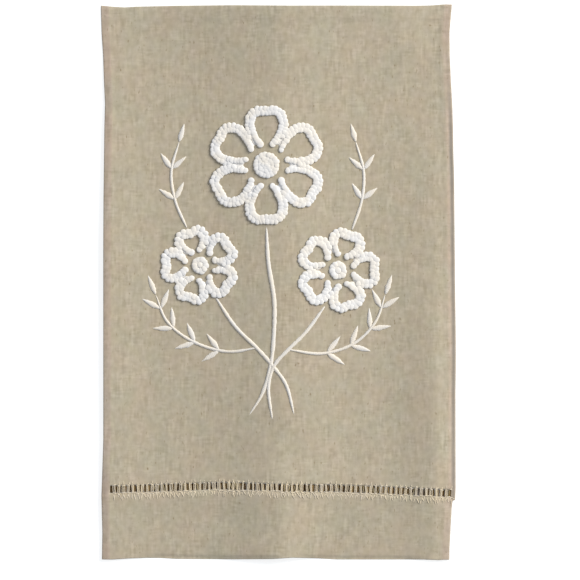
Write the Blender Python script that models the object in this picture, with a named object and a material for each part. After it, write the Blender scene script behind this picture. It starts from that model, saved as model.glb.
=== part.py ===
"""A linen hand towel, laid face up on a flat surface.

One closed body: a hemmed sheet with a deep hem turned up at its lower end, a row of hemstitch slots cut
through above that hem, soft folds along its length, and a whitework posy raised in its face.
+Z is up, the towel's length runs along Y with the deep hem at -Y, and the origin is the middle of what it
lies on. Sizes and places below are in millimetres; MM turns them to metres once, where the mesh is made.
"""

import math

import bmesh
import bpy
import numpy as np
from mathutils import Vector
from mathutils.geometry import delaunay_2d_cdt

MM = 0.001

# The cloth's overall reach, and its thickness as one layer and for each layer turned under at a hem.
WIDTH = 358.3
LENGTH = 560.9
CLOTH = 1.2
TURNED_LAYER = 0.5

# Hems, measured in from the edge, and how far the face takes to step down from them.
SIDE_HEM = 7.0
TOP_HEM = 12.0
HEM_STEP = 1.5
EDGE_ROLL = 2.5
EDGE_ROLL_DROP = 0.35
HEM_LINE_END = 4.0

# How far each edge lies inside the overall reach: height up the towel, then inset.
LEFT_EDGE = (
    (-280, 1.1), (-252, 1.6), (-236, 1.1), (-215, 0.7), (-183, 1.8), (-159, 2.6), (-119, 2.6), (32, 2.6),
    (83, 2.8), (155, 3.6), (180, 4.2), (204, 3.1), (228, 2.3), (252, 0.7), (276, 0.0), (281, 0.4),
)
RIGHT_EDGE = (
    (-280, 6.6), (-268, 6.4), (-252, 5.5), (-236, 4.6), (-228, 4.2), (-220.6, 3.3), (-219.8, 0.7),
    (-207, 0.2), (-111, 0.4), (-86, 0.0), (-62, 0.0), (-14, 0.6), (59, 1.3), (107, 1.7), (131, 2.5),
    (155, 2.8), (180, 3.6), (204, 5.0), (228, 6.1), (252, 6.4), (276, 4.3), (281, 4.0),
)
# The same for the ends: place across the towel, then inset.
TOP_EDGE = (
    (-177, 1.4), (-167, 2.4), (-155, 3.1), (-143, 2.4), (-102, 1.6), (-46, 1.3), (10, 1.9), (59, 1.7),
    (140, 1.6), (156, 1.2), (168, 0.3), (173, 0.0), (175, 0.2),
)
BOTTOM_EDGE = (
    (-177, 0.7), (-167, 0.6), (-151, 1.6), (-135, 2.2), (-118, 2.1), (-102, 1.1), (-46, 0.8), (-6, 1.4),
    (14, 2.7), (43, 1.5), (59, 0.6), (148, 0.6), (168, 0.0), (172, 0.4),
)
EDGE_STEP = 22.0
EDGE_CROWDED = 7.0
CORNER = 1.0

# The hemstitch row: place across the towel, then its middle's height up the towel.
ROW_LINE = (
    (-169, -208.8), (-144, -208.3), (-108, -207.1), (-58, -205.3), (-28, -206.1), (12, -207.3), (53, -207.8),
    (93, -209.3), (128, -210.8), (169, -212.8),
)
SLOTS = 70
FIRST_SLOT = -167.9
FIRST_PITCH = 4.74
LAST_PITCH = 5.11
SLOT_WIDTH = 2.45
SLOT_HEIGHT = 7.6
SLOT_UNEVEN = 0.35
SLOT_SEED = 4
HEM_BELOW_ROW = 7.2
ROW_SPAN = (-219.0, -203.0)

# Long soft folds. Each crest's place across the towel, its height and how far it reaches to each side,
# at five heights up the towel. Between them, and along both side edges, the cloth lies on the surface.
STATIONS = (-280, -150, 40, 200, 280)
FOLDS = (
    # crest across                  crest height               reach left              reach right
    ((-163, -163, -163, -163, -163), (1.6, 2.2, 2.4, 1.2, 0.6), (11, 11, 11, 11, 11), (50, 52, 51, 45, 40)),
    ((-2, 3, 0, 0, 4), (8.2, 6.6, 5.4, 5.2, 7.6), (84, 98, 98, 104, 130), (56, 96, 104, 104, 160)),
    ((154, 154, 154, 154, 154), (2.8, 4.4, 2.8, 0.6, 0.3), (46, 56, 50, 40, 40), (18, 21, 21, 18, 18)),
)
# A fold's crest is sharper than its foot: 1 would make both alike.
FOLD_SHARPNESS = 0.78
ROW_LIFT = 1.6
ROW_LIFT_REACH = 28.0
ROW_LIFT_FADE = 30.0
LEVEL = 1e-4
# Spacing of the points between the folds and forms, across and along the towel, and their margin.
GRID = 15.0
GRID_LONG = 24.0
GRID_MARGIN = 20.0
FOLD_MARGIN = 12.0
SAME_POINT = 1e-4

# The posy. Blossoms: middle, heart's radius, reach to a petal's tip, petals, turn, petal width, band width.
BLOSSOMS = (
    (-12, 118, 13.0, 62, 6, 90, 43, 9.0),
    (-79, 17, 8.5, 40, 5, 108, 33, 7.0),
    (60, 12, 9.0, 43, 5, 72, 35, 7.0),
)
PETAL_FOOT = 0.10
PETAL_TAPER = 0.45
PETAL_NOTCH = 3.0
NOTCH_SPREAD = 0.34
PETAL_STEPS = 60
PETAL_RISE = 1.9
PETAL_GAP = 3.0
HEART_SIDES = 9
HEART_RING = 0.35
# Stems: width, then the points that each passes through.
STEMS = (
    (4.4, ((-12, 56), (-10, 20), (-4, -20), (-5, -60), (-8, -84), (-16, -112), (-30, -135))),
    (4.0, ((-64, -14), (-44, -44), (-22, -66), (-6, -84), (8, -104), (16, -134))),
    (4.0, ((47, -24), (28, -50), (10, -68), (-4, -84), (-10, -106), (-6, -139))),
)
# Leafy sprays: width, stem points, leaf length, then where the leaf pairs stand along the stem.
SPRAYS = (
    (3.2, ((-20, -66), (-52, -70), (-86, -60), (-112, -40), (-124, -12)), 22, (0.30, 0.50, 0.70, 0.88)),
    (3.2, ((10, -68), (44, -72), (76, -62), (98, -40), (108, -12)), 22, (0.30, 0.50, 0.70, 0.88)),
    (3.2, ((-92, 54), (-104, 82), (-108, 112), (-100, 142)), 20, (0.35, 0.68)),
    (3.2, ((74, 52), (84, 82), (86, 112), (78, 142)), 20, (0.35, 0.68)),
)
LEAF_SPREAD = 42.0
LEAF_WIDTH = 6.0
# A leaf's outline: share of its length, then of its width.
LEAF_SHAPE = ((0.04, 0.16), (0.35, 1.0), (0.65, 0.75), (1.0, 0.05))
LEAF_EDGE = 0.3
STEM_RISE = 1.1
RIDGE_SIDE = 1.4
FLAT_TOP_FROM = 6.8
STROKE_STEP = 7.0
CURVE_STEPS = 12
CLEAR = 1.15

LINEN = (0.468, 0.407, 0.301)


def lookup(table, at):
    """The second column of a table, read between its rows."""
    places, values = zip(*table)
    return np.interp(at, places, values)


def left(y):
    return lookup(LEFT_EDGE, y) - WIDTH / 2


def right(y):
    return WIDTH / 2 - lookup(RIGHT_EDGE, y)


def top(x):
    return LENGTH / 2 - lookup(TOP_EDGE, x)


def bottom(x):
    return lookup(BOTTOM_EDGE, x) - LENGTH / 2


def spaced(low, high, step):
    return np.linspace(low, high, max(2, round((high - low) / step) + 1))


def stations(low, high, table):
    """Places about EDGE_STEP apart, and every place that the table names, without crowding them."""
    named = [at for at, _ in table if low < at < high]
    free = [at for at in spaced(low, high, EDGE_STEP) if all(abs(at - n) > EDGE_CROWDED for n in named)]
    return np.array(sorted({low, high, *free, *named}))


def outline():
    """The cloth's edge as one loop, anticlockwise from the lower left, with a little off each corner."""
    end = LENGTH / 2
    low = stations(left(-end) + CORNER, right(-end) - CORNER, BOTTOM_EDGE)
    high = stations(left(end) + CORNER, right(end) - CORNER, TOP_EDGE)
    up_left = stations(bottom(low[0]) + CORNER, top(high[0]) - CORNER, LEFT_EDGE)
    up_right = stations(bottom(low[-1]) + CORNER, top(high[-1]) - CORNER, RIGHT_EDGE)
    return np.vstack([
        np.column_stack([low, bottom(low)]),
        np.column_stack([right(up_right), up_right]),
        np.column_stack([high, top(high)])[::-1],
        np.column_stack([left(up_left), up_left])[::-1],
    ])


def slots():
    """The hemstitch slots, each a slightly uneven upright oblong."""
    uneven = np.random.default_rng(SLOT_SEED)
    pitch = np.linspace(FIRST_PITCH, LAST_PITCH, SLOTS - 1)
    across = FIRST_SLOT + np.concatenate([[0], np.cumsum(pitch)])
    half = np.array([(-1, -1), (1, -1), (1, 1), (-1, 1)]) * (SLOT_WIDTH / 2, SLOT_HEIGHT / 2)
    return [
        half + (x, lookup(ROW_LINE, x)) + uneven.uniform(-SLOT_UNEVEN, SLOT_UNEVEN, (4, 2)) for x in across
    ]


def between_sides(y):
    """Places across the towel from near one side edge to near the other."""
    return spaced(left(y) + HEM_LINE_END, right(y) - HEM_LINE_END, EDGE_STEP)


def hem_lines():
    """Lines along which the face steps down from a hem or rolls over an edge, clear of the edge itself."""
    end = LENGTH / 2 - HEM_LINE_END
    full_length = spaced(-end, end, EDGE_STEP)
    below_slots = spaced(-end, ROW_SPAN[0], EDGE_STEP)
    above_slots = spaced(ROW_SPAN[1], end, EDGE_STEP)
    lines = []
    for inset, runs in (
        (EDGE_ROLL, [full_length]),
        (SIDE_HEM, [below_slots, above_slots]),
        (SIDE_HEM + HEM_STEP, [below_slots, above_slots]),
    ):
        for run in runs:
            lines += [np.column_stack([left(run) + inset, run]), np.column_stack([right(run) - inset, run])]
    across = between_sides(LENGTH / 2)
    for inset in (EDGE_ROLL, TOP_HEM, TOP_HEM + HEM_STEP):
        lines.append(np.column_stack([across, top(across) - inset]))
    across = between_sides(-LENGTH / 2)
    lines.append(np.column_stack([across, bottom(across) + EDGE_ROLL]))
    for below in (HEM_BELOW_ROW, HEM_BELOW_ROW - HEM_STEP):
        lines.append(np.column_stack([across, lookup(ROW_LINE, across) - below]))
    return lines


def step_down(depth, hem):
    """1 on a hem this wide, falling to 0 just past it."""
    return np.clip((hem + HEM_STEP - depth) / HEM_STEP, 0, 1)


def thickness(x, y):
    """The cloth's thickness with the layers turned under at its hems, rounded down at its edges."""
    from_side = np.minimum(x - left(y), right(y) - x)
    from_end = np.minimum(y - bottom(x), top(x) - y)
    below_row = lookup(ROW_LINE, x) - y
    deep_hem = np.clip((below_row - HEM_BELOW_ROW + HEM_STEP) / HEM_STEP, 0, 1)
    layers = step_down(from_side, SIDE_HEM) + step_down(top(x) - y, TOP_HEM) + deep_hem
    roll = np.clip(1 - np.minimum(from_side, from_end) / EDGE_ROLL, 0, 1)
    return (CLOTH + TURNED_LAYER * layers) * (1 - EDGE_ROLL_DROP * roll)


def hump(offset, reach):
    """A smooth rise: 1 at its middle and level again, exactly 0, from reach outwards."""
    return np.cos(np.clip(np.abs(offset) / reach, 0, 1) * math.pi / 2) ** 2


def underside(x, y):
    """How high the cloth lies off the surface: 0 in its hollows and at its side edges, where it rests."""
    from_side = np.minimum(x - left(y), right(y) - x)
    row_lift = ROW_LIFT * hump(y - lookup(ROW_LINE, x), ROW_LIFT_REACH)
    rise = row_lift * np.clip(from_side / ROW_LIFT_FADE, 0, 1)
    for crest, height, reach_left, reach_right in FOLDS:
        offset = x - np.interp(y, STATIONS, crest)
        reach = np.where(offset < 0, np.interp(y, STATIONS, reach_left), np.interp(y, STATIONS, reach_right))
        share = np.clip(np.abs(offset) / reach, 0, 1) ** FOLD_SHARPNESS
        rise = rise + np.interp(y, STATIONS, height) * hump(share, 1)
    return np.where(rise < LEVEL, 0, rise)


def evenly(line, step):
    """A line again, with its points about step apart."""
    run = np.concatenate([[0], np.cumsum(np.linalg.norm(np.diff(line, axis=0), axis=1))])
    at = np.linspace(0, run[-1], max(2, round(run[-1] / step) + 1))
    return np.column_stack([np.interp(at, run, line[:, 0]), np.interp(at, run, line[:, 1])])


def smooth_line(points, step):
    """A smooth curve through a few points."""
    p = np.array(points, float)
    p = np.vstack([2 * p[0] - p[1], p, 2 * p[-1] - p[-2]])
    t = np.arange(CURVE_STEPS)[:, None] / CURVE_STEPS
    pieces = [
        0.5 * (2 * b + (c - a) * t + (2 * a - 5 * b + 4 * c - d) * t**2 + (3 * b - a - 3 * c + d) * t**3)
        for a, b, c, d in zip(p, p[1:], p[2:], p[3:])
    ]
    return evenly(np.vstack([*pieces, p[-2:-1]]), step)


def petal(x, y, foot, tip, turn, width):
    """A petal's outline, from one side of its foot round the notched tip to the other."""
    t = np.linspace(PETAL_FOOT, 1 - PETAL_FOOT, PETAL_STEPS) * 2 * math.pi
    share = (1 - np.cos(t)) / 2
    along = foot + (tip - foot) * share - PETAL_NOTCH * np.exp(-(((t - math.pi) / NOTCH_SPREAD) ** 2))
    bulge = np.sin(t) * (1 - PETAL_TAPER + PETAL_TAPER * share)
    across = width / 2 * bulge / bulge.max()
    c, s = math.cos(math.radians(turn)), math.sin(math.radians(turn))
    return evenly(np.column_stack([x + along * c - across * s, y + along * s + across * c]), STROKE_STEP)


def leaf(x, y, turn, length):
    """A leaf as a straight stroke from its foot, widest before its middle and pointed at both ends."""
    a = math.radians(turn)
    share, width = np.array(LEAF_SHAPE).T
    line = (x, y) + share[:, None] * length * np.array([math.cos(a), math.sin(a)])
    return line, width * LEAF_WIDTH, STEM_RISE


def even_stroke(line, width, rise):
    return line, np.full(len(line), width), rise


def spray(width, points, length, pairs):
    """A spray's stem, its pairs of leaves and the leaf at its tip, as strokes."""
    line = smooth_line(points, STROKE_STEP / 4)
    strokes = [even_stroke(smooth_line(points, STROKE_STEP), width, STEM_RISE)]
    for share in (*pairs, 1.0):
        i = min(round(share * (len(line) - 1)), len(line) - 2)
        heading = math.degrees(math.atan2(*(line[i + 1] - line[i])[::-1]))
        turns = (heading,) if share == 1.0 else (heading - LEAF_SPREAD, heading + LEAF_SPREAD)
        strokes += [leaf(*line[i], turn, length) for turn in turns]
    return strokes


def heart(x, y, radius):
    """A blossom's heart: a ring-shaped stroke, so wide that it closes over the middle."""
    ring = np.linspace(0, 2 * math.pi, HEART_SIDES + 1)
    middle = radius * HEART_RING
    line = (x, y) + middle * np.column_stack([np.cos(ring), np.sin(ring)])
    return even_stroke(line, 2 * (radius - middle), PETAL_RISE)


def posy():
    """Every raised stroke of the posy: its middle line, its width along it and its rise."""
    strokes = []
    for x, y, radius, reach, petals, turn, width, band in BLOSSOMS:
        strokes.append(heart(x, y, radius))
        for i in range(petals):
            line = petal(x, y, radius + PETAL_GAP, reach - band / 2, turn + 360 / petals * i, width - band)
            strokes.append(even_stroke(line, band, PETAL_RISE))
    strokes += [even_stroke(smooth_line(points, STROKE_STEP), width, STEM_RISE) for width, points in STEMS]
    for row in SPRAYS:
        strokes += spray(*row)
    return strokes


def inside_stroke(points, line, widths):
    """How deep each point lies inside a stroke, and the stroke's width there."""
    depth = np.full(len(points), -np.inf)
    width_at = np.ones(len(points))
    for a, b, width_a, width_b in zip(line, line[1:], widths, widths[1:]):
        d = b - a
        t = np.clip((points - a) @ d / (d @ d), 0, 1)
        width = width_a + t * (width_b - width_a)
        here = width / 2 - np.linalg.norm(points - a - t[:, None] * d, axis=1)
        width_at = np.where(here > depth, width, width_at)
        depth = np.maximum(depth, here)
    return depth, width_at


def relief(points, strokes):
    """How far the posy stands off the face at each point."""
    rise = np.zeros(len(points))
    for line, widths, height in strokes:
        depth, width = inside_stroke(points, line, widths)
        side = np.clip(width / 2, LEAF_EDGE, RIDGE_SIDE)
        rise = np.maximum(rise, height * np.clip(depth / side, 0, 1))
    return rise


def stroke_points(strokes):
    """Points across each stroke, along its middle or shoulders and its two sides, that shape its ridge."""
    points = []
    for line, widths, _ in strokes:
        along = np.gradient(line, axis=0)
        aside = np.column_stack([-along[:, 1], along[:, 0]]) / np.linalg.norm(along, axis=1)[:, None]
        half = widths[:, None] / 2
        shoulder = half - RIDGE_SIDE if widths.max() > FLAT_TOP_FROM else 0 * half
        points += [line + aside * offset for offset in (shoulder, -shoulder, half, -half)]
    return np.vstack(points)


def thinned(points, kept, clear):
    """The points that stand at least this clear of those kept and of each other."""
    kept = list(kept)
    fresh = []
    for p in points:
        if min(np.hypot(*(np.array(kept) - p).T)) >= clear:
            kept.append(p)
            fresh.append(p)
    return np.array(fresh)


def fold_points():
    """Points along each fold's crest and along the two feet that it comes down to, clear of the hems."""
    along = spaced(GRID_MARGIN - LENGTH / 2, LENGTH / 2 - GRID_MARGIN, GRID_LONG)
    points = []
    for crest, _, reach_left, reach_right in FOLDS:
        middle = np.interp(along, STATIONS, crest)
        feet = middle - np.interp(along, STATIONS, reach_left), middle + np.interp(along, STATIONS, reach_right)
        points += [np.column_stack([x, along]) for x in (feet[0], middle, feet[1])]
    points = np.vstack(points)
    return points[np.abs(points[:, 0]) < WIDTH / 2 - FOLD_MARGIN]


def grid_points(taken, clear):
    """An even grid over the cloth, staying clear of what is already there."""
    across = spaced(GRID_MARGIN - WIDTH / 2, WIDTH / 2 - GRID_MARGIN, GRID)
    along = spaced(GRID_MARGIN - LENGTH / 2, LENGTH / 2 - GRID_MARGIN, GRID_LONG)
    grid = np.array([(x, y) for y in along for x in across])
    return thinned(grid, taken, clear)


def plan(loops, lines, loose):
    """A flat triangulation inside the first loop and outside the others.

    Gives its points, its triangles, and each loop as numbers of points."""
    points, edges, rings = [], [], []
    for loop in loops:
        rings.append(list(range(len(points), len(points) + len(loop))))
        points += list(loop)
    for line in lines:
        edges += [(len(points) + i, len(points) + i + 1) for i in range(len(line) - 1)]
        points += list(line)
    points += list(loose)
    inside_only = 1
    made, _, triangles, sources, _, owners = delaunay_2d_cdt(
        [Vector(p) for p in points], edges, rings, inside_only, SAME_POINT, True
    )
    number = {given: i for i, source in enumerate(sources) for given in source}
    kept = [tuple(t) for t, owner in zip(triangles, owners) if list(owner) == [0]]
    return np.array(made), kept, [[number[i] for i in ring] for ring in rings]


def towel_mesh():
    """The whole towel as one closed body."""
    edge, holes, strokes = outline(), slots(), posy()
    hems = hem_lines()
    fixed = np.vstack([edge, *holes, *hems])
    raised = thinned(stroke_points(strokes), fixed, CLEAR)
    face_folds = thinned(fold_points(), np.vstack([fixed, raised]), GRID / 4)
    back_folds = thinned(fold_points(), np.vstack([edge, *holes]), GRID / 4)
    face_grid = grid_points(np.vstack([fixed, raised, face_folds]), GRID / 2)
    back_grid = grid_points(np.vstack([edge, *holes, back_folds]), GRID / 2)
    face = plan([edge, *holes], hems, np.vstack([raised, face_folds, face_grid]))
    back = plan([edge, *holes], [], np.vstack([back_folds, back_grid]))

    bm = bmesh.new()
    rings = []
    for (points, triangles, loops), is_face in ((face, True), (back, False)):
        x, y = points.T
        z = underside(x, y)
        if is_face:
            z = z + thickness(x, y) + relief(points, strokes)
        verts = [bm.verts.new((px * MM, py * MM, pz * MM)) for px, py, pz in zip(x, y, z)]
        for triangle in triangles:
            bm.faces.new([verts[i] for i in triangle])
        rings.append([[verts[i] for i in loop] for loop in loops])
    for upper, lower in zip(*rings):
        for i in range(len(upper)):
            bm.faces.new((lower[i - 1], lower[i], upper[i], upper[i - 1]))
    bmesh.ops.delete(bm, geom=[v for v in bm.verts if not v.link_faces], context="VERTS")
    bmesh.ops.recalc_face_normals(bm, faces=bm.faces)
    mesh = bpy.data.meshes.new("towel_cloth")
    bm.to_mesh(mesh)
    bm.free()
    return mesh


def linen():
    """Unbleached linen: matt, with no shine."""
    material = bpy.data.materials.new("linen")
    material.use_nodes = True
    shader = material.node_tree.nodes["Principled BSDF"]
    shader.inputs["Base Color"].default_value = (*LINEN, 1)
    shader.inputs["Roughness"].default_value = 0.9
    shader.inputs["Metallic"].default_value = 0.0
    return material


def build():
    for old in list(bpy.data.objects):
        bpy.data.objects.remove(old)
    mesh = towel_mesh()
    mesh.materials.append(linen())
    towel = bpy.data.objects.new("towel_cloth", mesh)
    bpy.context.scene.collection.objects.link(towel)


build()
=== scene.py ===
"""The looks of a linen hand towel, laid face up: hemmed cloth, a ladder hemstitch and a whitework posy.

Sizes and places are in millimetres in the part's own frame, with +Z up out of the towel's face, +Y along its
length and the hemstitched deep hem at -Y. MM turns them to metres, where something is made from them.
"""

import math

import bmesh
import bpy
import numpy as np
from mathutils import Matrix, Vector, noise


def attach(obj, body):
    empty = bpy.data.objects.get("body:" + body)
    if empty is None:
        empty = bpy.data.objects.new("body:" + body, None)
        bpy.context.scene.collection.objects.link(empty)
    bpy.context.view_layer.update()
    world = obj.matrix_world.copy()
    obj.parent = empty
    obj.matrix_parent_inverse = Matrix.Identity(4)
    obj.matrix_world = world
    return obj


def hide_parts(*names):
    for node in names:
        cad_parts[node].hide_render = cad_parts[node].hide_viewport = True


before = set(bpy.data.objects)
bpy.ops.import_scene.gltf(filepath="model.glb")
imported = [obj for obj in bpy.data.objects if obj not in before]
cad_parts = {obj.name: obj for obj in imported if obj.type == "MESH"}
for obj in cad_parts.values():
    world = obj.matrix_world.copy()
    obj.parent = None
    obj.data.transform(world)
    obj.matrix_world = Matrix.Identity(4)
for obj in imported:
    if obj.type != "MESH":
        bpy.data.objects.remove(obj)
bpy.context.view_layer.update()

MM = 0.001

# ---------------------------------------------------------------- the cloth's sizes
# The outline, the hems and the row are the part's. The cloth is as thin as real linen: one layer, and what
# each turned layer adds once it is pressed. It falls away over a step, at the row, the sides and the top.
WIDTH = 358.3
LENGTH = 560.9
LAYER = 0.65
TURNED_LAYER = 0.33
SIDE_HEM = 7.0
TOP_HEM = 12.0
HEM_STEP = 1.5
SIDE_STEP = 4.0
TOP_STEP = 5.0
# How far in an edge is rounded down, and the share of its thickness that it ends with.
EDGE_ROUND = 0.7
EDGE_THIN = 0.25

# How far each edge lies inside the overall reach: height up the towel, then inset.
LEFT_EDGE = (
    (-280, 1.1), (-252, 1.6), (-236, 1.1), (-215, 0.7), (-183, 1.8), (-159, 2.6), (-119, 2.6), (32, 2.6),
    (83, 2.8), (155, 3.6), (180, 4.2), (204, 3.1), (228, 2.3), (252, 0.7), (276, 0.0), (281, 0.4),
)
RIGHT_EDGE = (
    (-280, 6.6), (-268, 6.4), (-252, 5.5), (-236, 4.6), (-228, 4.2), (-220.6, 3.3), (-219.8, 0.7),
    (-207, 0.2), (-111, 0.4), (-86, 0.0), (-62, 0.0), (-14, 0.6), (59, 1.3), (107, 1.7), (131, 2.5),
    (155, 2.8), (180, 3.6), (204, 5.0), (228, 6.1), (252, 6.4), (276, 4.3), (281, 4.0),
)
# The same for the ends: place across the towel, then inset.
TOP_EDGE = (
    (-177, 1.4), (-167, 2.4), (-155, 3.1), (-143, 2.4), (-102, 1.6), (-46, 1.3), (10, 1.9), (59, 1.7),
    (140, 1.6), (156, 1.2), (168, 0.3), (173, 0.0), (175, 0.2),
)
BOTTOM_EDGE = (
    (-177, 0.7), (-167, 0.6), (-151, 1.6), (-135, 2.2), (-118, 2.1), (-102, 1.1), (-46, 0.8), (-6, 1.4),
    (14, 2.7), (43, 1.5), (59, 0.6), (148, 0.6), (168, 0.0), (172, 0.4),
)

# The hemstitch row: place across the towel, then its middle's height up the towel.
ROW_LINE = (
    (-169, -208.8), (-144, -208.3), (-108, -207.1), (-58, -205.3), (-28, -206.1), (12, -207.3), (53, -207.8),
    (93, -209.3), (128, -210.8), (169, -212.8),
)
# Its level before it wanders, its slots, where the first stands, how far apart they are at the left and the
# right, their size, and how far under the row the deep hem's edge lies.
ROW_LEVEL = -208.5
SLOTS = 70
FIRST_SLOT = -167.9
FIRST_PITCH = 4.74
LAST_PITCH = 5.11
SLOT_WIDTH = 2.45
SLOT_HEIGHT = 7.6
HEM_BELOW_ROW = 7.2

# Long soft folds, near the part's but closer to the photo's shading: each crest's place across the towel,
# its height and its reach to each side, at five heights up the towel. The outer folds run past the side
# hems, which stand a little off the surface.
STATIONS = (-280, -150, 40, 200, 280)
FOLDS = (
    # crest across                  crest height               reach left              reach right
    ((-171, -174, -173, -169, -166), (2.6, 3.9, 5.1, 1.6, 0.0), (34, 34, 34, 34, 34), (54, 56, 58, 50, 40)),
    ((-1, 6, 0, 0, 4), (8.2, 6.6, 5.4, 5.2, 10.4), (84, 98, 98, 104, 170), (56, 94, 104, 104, 172)),
    ((158, 159, 158, 154, 112), (2.4, 4.5, 2.1, 0.2, 2.8), (46, 56, 50, 50, 130), (28, 28, 28, 28, 67)),
)
# A fold's crest is sharper than its foot: 1 would make both alike.
FOLD_SHARPNESS = 0.78
# The row is lifted a little: how high, how far up and down the towel, and over what it grows from each side.
ROW_LIFT = 0.9
ROW_LIFT_REACH = 40.0
ROW_LIFT_FADE = 30.0
# Crinkles: their height, then their size across and up the towel.
CRINKLE = 0.35
CRINKLE_SPAN = (38.0, 90.0)

# What the pressing left along the edges: the edge, distance in from it, rise or drop of the cloth there,
# half width, from and to along the edge, and over what it fades in and out. The right side hem has rolled
# a little, the left and top hems are rounded down, and so is the deep hem's fold, but for its middle.
EDGE_FORMS = (
    # edge    inset  rise  half width  from    to   fades in and out over
    ("right", 0.2, 0.30, 3.2, -219.8, 205, 0.7, 60),
    ("right", 4.0, -0.40, 2.7, -219.8, 205, 0.7, 60),
    ("right", 8.4, 0.16, 3.6, -219.8, 281, 0.7, 1),
    ("right", 8.0, 0.10, 4.8, 130, 281, 60, 1),
    ("left", 0.0, -0.28, 6.5, -281, 281, 1, 1),
    ("top", 0.0, -0.30, 4.0, -178, 178, 1, 1),
    ("top", 10.5, 0.30, 1.8, -176, -168, 1.5, 2),
    ("top", 13.4, 0.35, 2.0, 149, 166, 3, 1.5),
    ("bottom", 0.0, -1.25, 5.4, -140, 4, 24, 12),
    ("bottom", 0.0, -1.10, 5.0, 15, 150, 14, 20),
)

# ---------------------------------------------------------------- the posy's sizes
# Its layout is the part's. Its heights are those of the stitches that the part has as ridges.
# Blossoms: middle, heart's radius, reach to a petal's tip, petals, turn in degrees, petal width, band width.
BLOSSOMS = (
    (-12, 118, 13.0, 62, 6, 90, 43, 9.0),
    (-79, 17, 8.5, 40, 5, 108, 33, 7.0),
    (60, 12, 9.0, 43, 5, 72, 35, 7.0),
)
# A petal's outline: the share of its round left open at either side of its foot, how much it narrows towards
# there, how deep and how broad the notch in its tip is, its points, and its gap to the heart.
PETAL_FOOT = 0.10
PETAL_TAPER = 0.45
PETAL_NOTCH = 3.0
NOTCH_SPREAD = 0.34
PETAL_STEPS = 60
PETAL_GAP = 3.0
# Stems: width, then the points that each passes through.
STEMS = (
    (4.4, ((-12, 56), (-10, 20), (-4, -20), (-5, -60), (-8, -84), (-16, -112), (-30, -135))),
    (4.0, ((-64, -14), (-44, -44), (-22, -66), (-6, -84), (8, -104), (16, -134))),
    (4.0, ((47, -24), (28, -50), (10, -68), (-4, -84), (-10, -106), (-6, -139))),
)
# Leafy sprays: width, stem points, leaf length, then where the leaf pairs stand along the stem.
SPRAYS = (
    (3.2, ((-20, -66), (-52, -70), (-86, -60), (-112, -40), (-124, -12)), 22, (0.30, 0.50, 0.70, 0.88)),
    (3.2, ((10, -68), (44, -72), (76, -62), (98, -40), (108, -12)), 22, (0.30, 0.50, 0.70, 0.88)),
    (3.2, ((-92, 54), (-104, 82), (-108, 112), (-100, 142)), 20, (0.35, 0.68)),
    (3.2, ((74, 52), (84, 82), (86, 112), (78, 142)), 20, (0.35, 0.68)),
)
# How far a pair of leaves spreads from the stem, in degrees, and how wide a leaf is.
LEAF_SPREAD = 42.0
LEAF_WIDTH = 6.0
# A leaf's and a stem's outline: share of its length, then of its width.
LEAF_SHAPE = ((0.0, 0.0), (0.10, 0.45), (0.35, 1.0), (0.65, 0.75), (0.9, 0.25), (1.0, 0.0))
STEM_SHAPE = ((0.0, 0.0), (0.02, 0.5), (0.12, 0.9), (0.5, 1.0), (0.85, 0.85), (0.97, 0.45), (1.0, 0.0))
# Satin stitch: its height, which a stem has from this share of its width up and a leaf from this width up,
# how ragged its sides are, how far it lies sunk in the cloth, and the sides of its round.
STEM_RISE = 1.2
LEAF_RISE = 1.1
STEM_FULL = 0.77
LEAF_FULL = 3.0
SATIN_RAGGED = 0.15
SATIN_SUNK = 0.1
SATIN_SIDES = 10
# Points: between two of a curve's own, along a leaf, and how far apart along a stem for its leaves' places
# and for its stitches.
CURVE_STEPS = 12
LEAF_STEPS = 16
STEM_STEP = 1.0
SATIN_STEP = 2.0

# French knots: size across and height, how far apart they stand along a row, between rows and at least, how
# uneven and strayed they are, their tilt in radians, how narrow the most oval are, how far they lie sunk,
# their faces round and from pole to pole, and their dimple as a share of half their height. They overlap, so
# that a row looks like knotted cord.
KNOT = 7.0
KNOT_HEIGHT = 1.55
KNOT_PITCH = 3.6
KNOT_ROWS = 3.6
KNOT_CLEAR = 2.8
KNOT_UNEVEN = 0.10
KNOT_STRAY = 0.35
KNOT_TILT = 0.07
KNOT_OVAL = 0.8
KNOT_SUNK = 0.6
KNOT_SIDES = 12
KNOT_RINGS = 8
KNOT_DIMPLE = 0.04
# A band is domed, so its outer rows stand lower, but at least the square root of this share of its height.
# Its inner row stops this share of its length short of each end.
BAND_DOME = 0.3
INNER_ROW_SHORT = 0.12
# The padding under the knots: how much narrower than its band it is, its height, how far apart its points
# are, how far it lies sunk, and over how many points its ends close.
PADDING_INSET = 0.8
PADDING_RISE = 1.0
PADDING_STEP = 2.0
PADDING_SUNK = 0.1
PADDING_CLOSES = 2
# How a heart is filled: its padding's rings as shares of its radius, their width as one, their points, how
# high its knots stand as a share of the padding's height, and how far they reach over its rim.
HEART_RINGS = (0.3, 0.75)
HEART_RING_WIDTH = 0.55
HEART_STEPS = 25
HEART_FULL = 0.85
HEART_OVER = 0.6

# The linen's tones. The tints multiply its own colour where they show.
LINEN_LIGHT = "#B3AB97"
LINEN_DARK = "#9D9581"
LINEN_FLECK = "#85765B"
# Painted shade: the grey that darkens a strip along the right hem's roll.
ROLL_SHADE_GREY = "#8D8980"
ROSY_TINT = (1.045, 0.982, 0.978)
STRAW_TINT = (1.0, 1.0, 0.945)
HEM_TINT = (1.035, 0.972, 1.02)
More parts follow.
